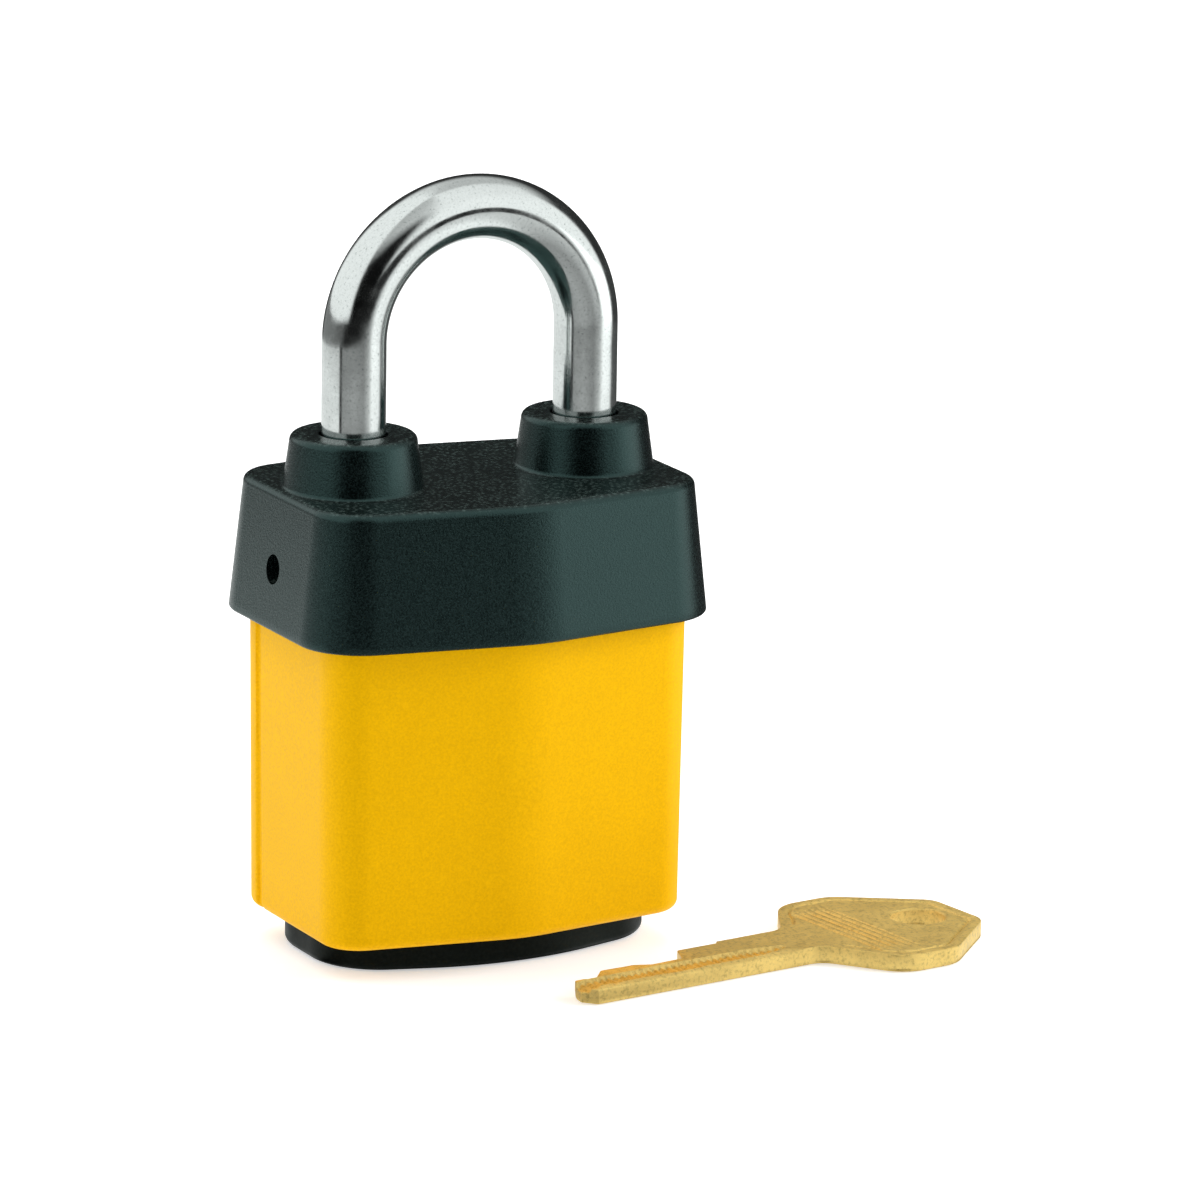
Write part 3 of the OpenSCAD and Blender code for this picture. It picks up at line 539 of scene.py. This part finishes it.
def make_key():
    """Sections square to the key, one each 0.12 mm from tip to far end. Each runs along the upper face
    from the lower edge to the upper one and back along the under face; the columns crowd towards
    both edges, and the faces sink to meet the edges in quarter circles."""
    near_end = KEY_L - np.array([0.5, 0.3, 0.2, 0.12, 0.06, 0.02, 0.0])
    s = np.concatenate([np.linspace(0.2, 1.3, 12), np.arange(1.4, BLADE_STOP, 0.12),
                        [BLADE_STOP + 0.03], np.arange(BLADE_STOP + 0.12, KEY_L - 0.6, 0.12), near_end])
    up_side, down_side = bow_edge(BLADE_HALF + STOP_STEP), bow_edge(BLADE_HALF)
    on_bow = s > NECK - 3
    high = np.where(on_bow, np.interp(s, up_side[:, 0], up_side[:, 1]), cut_height(s))
    low = -np.where(on_bow, np.interp(s, down_side[:, 0], down_side[:, 1]), BLADE_HALF)
    low += np.interp(s, [0.2, 1.6], [1.6, 0.0])
    near = np.array([0, 0.03, 0.07, 0.12, 0.18, 0.35, 0.7, 1.05, 1.3, 1.4, 1.5, 1.6, 1.7, 1.8, 1.9, 2.1, 2.5])
    width = (high - low)[:, None]
    lean = np.sqrt(1 + np.gradient((high - low) / 2, s) ** 2)[:, None] * on_bow[:, None] + ~on_bow[:, None]
    scale = np.minimum(lean, 0.42 * width / near[-1])
    step = np.linspace(0, 1, 22)[1:-1]
    middle = near[-1] * scale + (width - 2 * near[-1] * scale) * step
    T = low[:, None] + np.concatenate([near * scale, middle, (width - near * scale)[:, ::-1]], 1)
    S = np.repeat(s[:, None], T.shape[1], 1)
    to_edge = np.minimum(T - low[:, None], high[:, None] - T) / lean
    to_edge = np.minimum(to_edge, KEY_L - S)
    soft = 0.18
    edge = soft * (1 - np.sqrt(np.clip(1 - (1 - to_edge / soft).clip(0) ** 2, 0, 1)))
    thin = np.interp(S, [0.2, 2.2], [0.45, 0.0])
    top = np.stack([S, T, KEY_T - thin - edge - upper_relief(S, T, to_edge)], -1)
    lower = 0.5 * np.clip((0.7 - np.abs(T - 0.8)) / 0.25, 0, 1) * np.clip((BLADE_STOP + 1.5 - S) / 3, 0, 1)
    under = np.stack([S, T, thin * 0.2 + edge + lower], -1)[:, ::-1]
    key = loft("key_body", place_key(np.concatenate([top, under], 1)), smooth_angle=38)
    a = math.radians(KEY_ANGLE)
    hole_at = (KEY_X + RING_HOLE_S * math.cos(a), KEY_Y + RING_HOLE_S * math.sin(a))
    r, flare = RING_HOLE_R, 0.2
    hole = turned([[r + 1, -0.8], [r + flare, 0], [r, flare], [r, KEY_T - flare], [r + flare, KEY_T],
                   [r + 1, KEY_T + 0.8]], hole_at, 96)
    return cut(key, [loft("cutter", hole)], 38)


# ---- finishes ----
class Finish:
    """A material and its node tree, with short calls for the nodes used here."""

    def __init__(self, name, color, metallic=0.0, roughness=0.5, specular=0.5, tint=(1, 1, 1)):
        self.mat = bpy.data.materials.new(name)
        self.mat.use_nodes = True
        self.tree = self.mat.node_tree
        self.shader = self.tree.nodes["Principled BSDF"]
        self.shader.inputs["Base Color"].default_value = (*color, 1)
        self.shader.inputs["Metallic"].default_value = metallic
        self.shader.inputs["Roughness"].default_value = roughness
        self.shader.inputs["Specular IOR Level"].default_value = specular
        self.shader.inputs["Specular Tint"].default_value = (*tint, 1)
        self.place = self.node("ShaderNodeTexCoord").outputs["Object"]

    def node(self, kind, **values):
        n = self.tree.nodes.new(kind)
        for key, value in values.items():
            setattr(n, key, value)
        return n

    def link(self, source, target):
        self.tree.links.new(source, target)

    def noise(self, size_mm, detail=2.0, rough=0.5, stretch=None):
        """Noise whose lumps are about size_mm across."""
        n = self.node("ShaderNodeTexNoise")
        n.inputs["Scale"].default_value = 1000 / size_mm
        n.inputs["Detail"].default_value = detail
        n.inputs["Roughness"].default_value = rough
        source = self.place
        if stretch:
            m = self.node("ShaderNodeMapping")
            m.inputs["Scale"].default_value = stretch
            self.link(source, m.inputs["Vector"])
            source = m.outputs["Vector"]
        self.link(source, n.inputs["Vector"])
        return n.outputs["Fac"]

    def cells(self, size_mm):
        """Distance to the nearest of many scattered points about size_mm apart."""
        n = self.node("ShaderNodeTexVoronoi")
        n.inputs["Scale"].default_value = 1000 / size_mm
        self.link(self.place, n.inputs["Vector"])
        return n.outputs["Distance"]

    def feed(self, value, slot):
        """Links the slot to another node, or sets it when the value is plain."""
        if isinstance(value, bpy.types.NodeSocket):
            self.link(value, slot)
        else:
            slot.default_value = value

    def ramp(self, source, stops):
        n = self.node("ShaderNodeValToRGB")
        n.color_ramp.elements[0].position, c = stops[0]
        n.color_ramp.elements[0].color = (*c, 1)
        n.color_ramp.elements[1].position, c = stops[-1]
        n.color_ramp.elements[1].color = (*c, 1)
        for pos, c in stops[1:-1]:
            e = n.color_ramp.elements.new(pos)
            e.color = (*c, 1)
        self.link(source, n.inputs["Fac"])
        return n.outputs["Color"]

    def levels(self, source, low, high, to_low, to_high):
        n = self.node("ShaderNodeMapRange")
        for key, value in zip(("From Min", "From Max", "To Min", "To Max"), (low, high, to_low, to_high)):
            n.inputs[key].default_value = value
        self.link(source, n.inputs["Value"])
        return n.outputs["Result"]

    def mix(self, factor, a, b, blend="MIX"):
        n = self.node("ShaderNodeMix", data_type="RGBA", blend_type=blend)
        for value, slot in ((factor, "Factor"), (a, "A"), (b, "B")):
            self.feed(value, n.inputs[slot])
        return n.outputs["Result"]

    def maths(self, operation, a, b):
        n = self.node("ShaderNodeMath", operation=operation)
        self.feed(a, n.inputs[0])
        self.feed(b, n.inputs[1])
        return n.outputs["Value"]

    def facing_up(self):
        """1 on faces that look straight up, 0 on walls. The cover uses it for painted light on its top face and
        for the coarser grain there.
        """
        g = self.node("ShaderNodeNewGeometry")
        x = self.node("ShaderNodeSeparateXYZ")
        self.link(g.outputs["Normal"], x.inputs["Vector"])
        return self.levels(x.outputs["Z"], 0.6, 0.95, 0.0, 1.0)

    def bump(self, source, height_mm, strength=1.0):
        n = self.node("ShaderNodeBump")
        n.inputs["Distance"].default_value = height_mm * MM
        n.inputs["Strength"].default_value = strength
        self.link(source, n.inputs["Height"])
        self.link(n.outputs["Normal"], self.shader.inputs["Normal"])

    def color(self, source):
        self.link(source, self.shader.inputs["Base Color"])

    def rough(self, source):
        self.link(source, self.shader.inputs["Roughness"])


def spark_textured_black():
    """Cover: black plastic with a fine spark grain, coarser on its top face, where paler specks are painted light
    from overhead.
    """
    f = Finish("cover_plastic", (0.006, 0.008, 0.008), roughness=0.3, specular=0.68, tint=(0.54, 1.0, 0.96))
    fine = f.noise(0.26, 3.0, 0.6)
    coarse = f.noise(0.6, 2.0, 0.65)
    up = f.facing_up()
    walls = f.ramp(fine, [(0.4, (0.0004, 0.0007, 0.0006)), (0.64, (0.0055, 0.0085, 0.0085))])
    # Painted light: faces that look up take paler specks than the walls, standing in for overhead light on the
    # grain.
    top = f.ramp(f.cells(0.62), [(0.13, (0.046, 0.066, 0.060)), (0.47, (0.002, 0.0035, 0.003))])
    f.color(f.mix(up, walls, top))
    f.rough(f.levels(fine, 0.3, 0.7, 0.2, 0.33))
    grain = f.maths("ADD", fine, f.maths("MULTIPLY", coarse, f.maths("MULTIPLY", up, 1.6)))
    f.bump(grain, 0.036, 1.0)
    return f.mat


def moulded_yellow():
    """Case: safety yellow plastic with a fine spark grain and faint cloudiness."""
    f = Finish("case_plastic", (0.95, 0.50, 0.004), roughness=0.42, specular=0.13, tint=(1.0, 0.8, 0.12))
    fine = f.noise(0.3, 3.0, 0.6)
    cloud = f.noise(9.0, 2.0, 0.5)
    tone = f.ramp(fine, [(0.3, (0.85, 0.435, 0.0)), (0.7, (0.99, 0.55, 0.001))])
    shade = f.ramp(cloud, [(0.3, (0.97, 0.97, 0.97)), (0.7, (1.0, 1.0, 1.0))])
    f.color(f.mix(1.0, tone, shade, "MULTIPLY"))
    f.rough(f.levels(fine, 0.3, 0.7, 0.38, 0.55))
    f.bump(fine, 0.02, 0.8)
    return f.mat


def satin_black(name, size_mm=0.4, height=0.012):
    """Base and keyway cover: smoother black plastic."""
    f = Finish(name, (0.005, 0.006, 0.005), roughness=0.36, specular=0.12, tint=(0.8, 1.0, 0.85))
    fine = f.noise(size_mm, 3.0, 0.55)
    f.color(f.ramp(fine, [(0.35, (0.002, 0.0025, 0.002)), (0.7, (0.006, 0.007, 0.006))]))
    f.rough(f.levels(f.noise(3.0), 0.3, 0.7, 0.36, 0.5))
    f.bump(fine, height, 0.7)
    return f.mat


def soft_rubber():
    """Seals and gasket: dull black rubber."""
    f = Finish("seal_rubber", (0.006, 0.006, 0.006), roughness=0.72, specular=0.35)
    fine = f.noise(0.25, 3.0, 0.6)
    f.color(f.ramp(fine, [(0.3, (0.005, 0.005, 0.005)), (0.75, (0.014, 0.014, 0.014))]))
    f.bump(fine, 0.01, 0.6)
    return f.mat


def plated_chrome(name, roughness):
    """Shackle and balls: polished plating with a faint unevenness and a few specks."""
    f = Finish(name, (0.72, 0.74, 0.735), metallic=1.0, roughness=roughness)
    specks = f.noise(0.35, 4.0, 0.7)
    cloud = f.noise(2.6, 3.0, 0.6)
    tone = f.ramp(specks, [(0.27, (0.40, 0.44, 0.43)), (0.41, (0.74, 0.77, 0.76)), (0.8, (0.84, 0.87, 0.86))])
    f.color(tone)
    f.rough(f.levels(cloud, 0.3, 0.7, roughness * 0.7, roughness * 1.5))
    f.bump(f.noise(1.8, 2.0, 0.5), 0.006, 0.5)
    return f.mat


def tumbled_brass(name, bright, dull, wear_mm=0.5, relief=0.012, metallic=1.0):
    """Key and lock parts: stamped brass, mottled by tumbling, with duller patches here and there."""
    f = Finish(name, bright, metallic=metallic, roughness=0.4)
    mottle = f.noise(wear_mm, 4.0, 0.65)
    stain = f.noise(4.0, 3.0, 0.55)
    tone = f.ramp(mottle, [(0.28, dull), (0.5, bright), (0.75, tuple(min(1, c * 1.12) for c in bright))])
    f.color(f.mix(f.levels(stain, 0.35, 0.75, 0.0, 0.35), tone, (*dull, 1)))
    f.rough(f.levels(mottle, 0.3, 0.7, 0.34, 0.52))
    f.bump(f.maths("ADD", mottle, f.noise(0.18, 2.0)), relief, 0.7)
    return f.mat


def plain_steel(name, color, roughness, stretch=(1, 1, 14)):
    """Blanked or turned steel with fine lines from the tool."""
    f = Finish(name, color, metallic=1.0, roughness=roughness)
    lines = f.noise(0.9, 4.0, 0.6, stretch)
    dark = tuple(c * 0.78 for c in color)
    f.color(f.ramp(lines, [(0.3, dark), (0.7, color)]))
    f.rough(f.levels(lines, 0.3, 0.7, roughness * 0.8, roughness * 1.3))
    f.bump(lines, 0.006, 0.5)
    return f.mat


finishes = {
    "cover_plastic": spark_textured_black(),
    "case_plastic": moulded_yellow(),
    "base_plastic": satin_black("base_plastic"),
    "door_plastic": satin_black("door_plastic", 0.3, 0.01),
    "seal_rubber": soft_rubber(),
    "shackle_chrome": plated_chrome("shackle_chrome", 0.13),
    "ball_chrome": plated_chrome("ball_chrome", 0.08),
    "key_brass": tumbled_brass("key_brass", (0.86, 0.62, 0.19), (0.5, 0.34, 0.09), metallic=0.55),
    "lock_brass": tumbled_brass("lock_brass", (0.75, 0.57, 0.26), (0.5, 0.36, 0.14), 1.4, 0.004),
    "steel": plain_steel("steel", (0.62, 0.63, 0.65), 0.3),
    "dark_steel": plain_steel("dark_steel", (0.035, 0.035, 0.037), 0.5),
    "plate_steel": plain_steel("plate_steel", (0.5, 0.51, 0.53), 0.36, (14, 14, 1)),
    "spring_steel": plain_steel("spring_steel", (0.55, 0.56, 0.58), 0.28),
}


SLOTS = {s["node"]: s["material_slot"] for s in frame["record"]["subparts"]}


def dress(piece, slot):
    """Gives a piece its finish."""
    piece.data.materials.clear()
    piece.data.materials.append(finishes[slot])


def stand_for(piece, node, body):
    """A finished piece takes the place of a CAD node, with that node's finish."""
    slot = SLOTS[node]
    dress(piece, slot)
    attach(piece, body)
    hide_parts(node)


# ---- build ----
for name, node in frame["nodes"].items():
    material = finishes[SLOTS[name]]
    if not node.material_slots:
        node.data.materials.append(material)
    for slot in node.material_slots:
        slot.material = material

stand_for(make_cover(), "top_cover", "lock_body")
stand_for(make_case(), "case_sleeve", "lock_body")
stand_for(make_base(), "bottom_cap", "lock_body")
stand_for(make_keyway_cover(), "keyway_cover", "keyway_cover")
stand_for(make_shackle(), "shackle", "shackle")
stand_for(make_key(), "key", "key")


# ---- stage ----
def make_floor():
    """Pale glowing paper, a hair under the lock. It is clear from below, so that the underside shows."""
    bpy.ops.mesh.primitive_plane_add(size=14, location=(0, 0, -0.0001))
    floor = bpy.context.object
    floor.name = "floor"
    mat = bpy.data.materials.new("floor_paper")
    mat.use_nodes = True
    tree = mat.node_tree
    shader = tree.nodes["Principled BSDF"]
    shader.inputs["Base Color"].default_value = (0.8, 0.8, 0.8, 1)
    shader.inputs["Roughness"].default_value = 0.9
    shader.inputs["Specular IOR Level"].default_value = 0.1
    shader.inputs["Emission Color"].default_value = (1, 1, 1, 1)
    shader.inputs["Emission Strength"].default_value = 0.5
    side = tree.nodes.new("ShaderNodeNewGeometry")
    clear = tree.nodes.new("ShaderNodeBsdfTransparent")
    pick = tree.nodes.new("ShaderNodeMixShader")
    tree.links.new(side.outputs["Backfacing"], pick.inputs[0])
    tree.links.new(shader.outputs["BSDF"], pick.inputs[1])
    tree.links.new(clear.outputs["BSDF"], pick.inputs[2])
    tree.links.new(pick.outputs["Shader"], tree.nodes["Material Output"].inputs["Surface"])
    floor.data.materials.append(mat)
    floor.visible_glossy = False


def ring_of_tones(tree, angle, tones):
    """Colour ramp over the direction round the lock: pairs of degrees and brightness."""
    ramp = tree.nodes.new("ShaderNodeValToRGB")
    stops = ramp.color_ramp.elements
    for degrees, tone in tones[1:-1]:
        stops.new((degrees + 180) / 360)
    for stop, (degrees, tone) in zip(stops, tones):
        stop.color = (tone * 0.97, tone, tone * 0.99, 1)
    tree.links.new(angle, ramp.inputs["Fac"])
    return ramp.outputs["Color"]


def glowing(piece, name):
    """Gives a staged piece a material that only glows. Returns its node tree and the glow."""
    piece.name = name
    mat = bpy.data.materials.new(name)
    mat.use_nodes = True
    tree = mat.node_tree
    tree.nodes.clear()
    glow = tree.nodes.new("ShaderNodeEmission")
    end = tree.nodes.new("ShaderNodeOutputMaterial")
    tree.links.new(glow.outputs["Emission"], end.inputs["Surface"])
    piece.data.materials.append(mat)
    piece.visible_shadow = False
    piece.visible_diffuse = False
    piece.visible_transmission = False
    return tree, glow


def studio_card(piece, name, tones, high_tones=None, change=(0, 1)):
    """Glowing card that only polished pieces see. Its brightness goes round by direction. With high tones
    given, it turns to them as the height passes through the change."""
    tree, glow = glowing(piece, name)
    piece.visible_camera = False
    place = tree.nodes.new("ShaderNodeTexCoord")
    split = tree.nodes.new("ShaderNodeSeparateXYZ")
    turn = tree.nodes.new("ShaderNodeMath")
    turn.operation = "ARCTAN2"
    share = tree.nodes.new("ShaderNodeMapRange")
    share.inputs["From Min"].default_value = -math.pi
    share.inputs["From Max"].default_value = math.pi
    tree.links.new(place.outputs["Object"], split.inputs["Vector"])
    tree.links.new(split.outputs["Y"], turn.inputs[0])
    tree.links.new(split.outputs["X"], turn.inputs[1])
    tree.links.new(turn.outputs["Value"], share.inputs["Value"])
    color = ring_of_tones(tree, share.outputs["Result"], tones)
    if high_tones:
        far = tree.nodes.new("ShaderNodeMapRange")
        far.inputs["From Min"].default_value, far.inputs["From Max"].default_value = change
        mix = tree.nodes.new("ShaderNodeMix")
        mix.data_type = "RGBA"
        tree.links.new(split.outputs["Z"], far.inputs["Value"])
        tree.links.new(far.outputs["Result"], mix.inputs["Factor"])
        tree.links.new(color, mix.inputs["A"])
        tree.links.new(ring_of_tones(tree, share.outputs["Result"], high_tones), mix.inputs["B"])
        color = mix.outputs["Result"]
    tree.links.new(color, glow.inputs["Color"])


def make_cards():
    """Three cards round the lock, each white to the left and behind, with a dark wall in front, white at
    the right and dark behind right. The sheet just over the floor shows in the legs, the low wall in the
    cover's sides and the dome in the bow."""
    bpy.ops.mesh.primitive_circle_add(vertices=96, radius=0.40, fill_type="NGON", location=(0, 0, 0.0004))
    studio_card(bpy.context.object, "reflection_sheet",
                [(-180, 0.92), (-170, 0.88), (-167, 0.03), (-161, 0.03), (-158, 0.36), (-120, 0.42), (-84, 0.32),
                 (-66, 0.6), (-52, 1.1), (-20, 1.0), (-6, 0.12), (40, 0.06), (52, 0.9), (180, 0.92)])
    bpy.ops.mesh.primitive_cylinder_add(vertices=96, radius=1.0, depth=0.26, end_fill_type="NOTHING",
                                        location=(0, 0, 0))
    studio_card(bpy.context.object, "reflection_wall",
                [(-180, 0.12), (-165, 0.1), (-150, 0.01), (-60, 0.01), (-51, 1.5), (-44, 1.8), (-14, 1.75),
                 (-4, 0.05), (70, 0.05), (92, 0.05), (104, 0.24), (180, 0.12)])
    dome_r = 4.0
    bpy.ops.mesh.primitive_uv_sphere_add(radius=dome_r, segments=64, ring_count=32)
    studio_card(bpy.context.object, "reflection_dome",
                [(-180, 1.0), (-146, 1.0), (-139, 0.005), (-90, 0.005), (-80, 1.05), (-12, 1.05), (-2, 0.03),
                 (70, 0.03), (92, 0.05), (104, 1.0), (180, 1.0)],
                [(-180, 1.0), (-148, 1.0), (-138, 0.5), (-95, 0.6), (-78, 1.0), (0, 0.9), (20, 0.55), (70, 0.6),
                 (100, 1.0), (180, 1.0)],
                (dome_r * 0.5, dome_r * 0.72))


def make_backdrop():
    """Pale surroundings that only the camera sees, beyond the floor's edge and from below."""
    bpy.ops.mesh.primitive_uv_sphere_add(radius=6.0, segments=48, ring_count=24)
    backdrop = bpy.context.object
    tree, glow = glowing(backdrop, "backdrop")
    glow.inputs["Color"].default_value = (0.9, 0.9, 0.9, 1)
    backdrop.visible_glossy = False


def soft_light(name, place, aim, size, watts):
    """Rectangular lamp turned towards its aim. Reflections don't show it: the cards are there for that."""
    data = bpy.data.lights.new(name, "AREA")
    data.shape = "RECTANGLE"
    data.size, data.size_y = size
    data.energy = watts
    lamp = bpy.data.objects.new(name, data)
    bpy.context.scene.collection.objects.link(lamp)
    lamp.location = place
    way = np.array(aim, float) - np.array(place, float)
    side = math.atan2(way[1], way[0])
    tilt = math.atan2(math.hypot(way[0], way[1]), -way[2])
    lamp.rotation_euler = (tilt, 0, side - math.pi / 2)
    lamp.visible_glossy = False


def make_lights():
    soft_light("overhead", (0.0, 0.75, 1.15), (0.0, 0.55, 0.0), (1.8, 1.6), 21.4)
    soft_light("right", (0.88, -0.32, 0.5), (0.0, 0.0, 0.04), (0.6, 0.6), 9)
    soft_light("left_back", (-0.8, 0.42, 0.45), (0.0, 0.0, 0.04), (0.6, 0.6), 2.9)
    make_cards()
    world = bpy.data.worlds.new("studio")
    world.use_nodes = True
    sky = world.node_tree.nodes["Background"]
    sky.inputs["Color"].default_value = (0.93, 0.95, 1.0, 1)
    sky.inputs["Strength"].default_value = 0.19
    bpy.context.scene.world = world


make_floor()
make_backdrop()
make_lights()

# ---- camera ----
CAMERA_PLACE = (-0.42441, -0.85286, 0.27843)
CAMERA_AXES = ((0.8890987, 0.0963729, -0.4474548),
               (-0.4574567, 0.2199724, -0.8615948),
               (0.0153933, 0.9707340, 0.2396636))
SENSOR = 36.0
LENS = 6.5831917 * SENSOR
camera_data = bpy.data.cameras.new("camera")
camera_data.sensor_width = SENSOR
camera_data.lens = LENS
camera = bpy.data.objects.new("camera", camera_data)
bpy.context.scene.collection.objects.link(camera)
camera.matrix_world = Matrix.Translation(CAMERA_PLACE) @ Matrix(CAMERA_AXES).to_4x4()
bpy.context.scene.camera = camera
bpy.context.scene.view_settings.view_transform = "Standard"
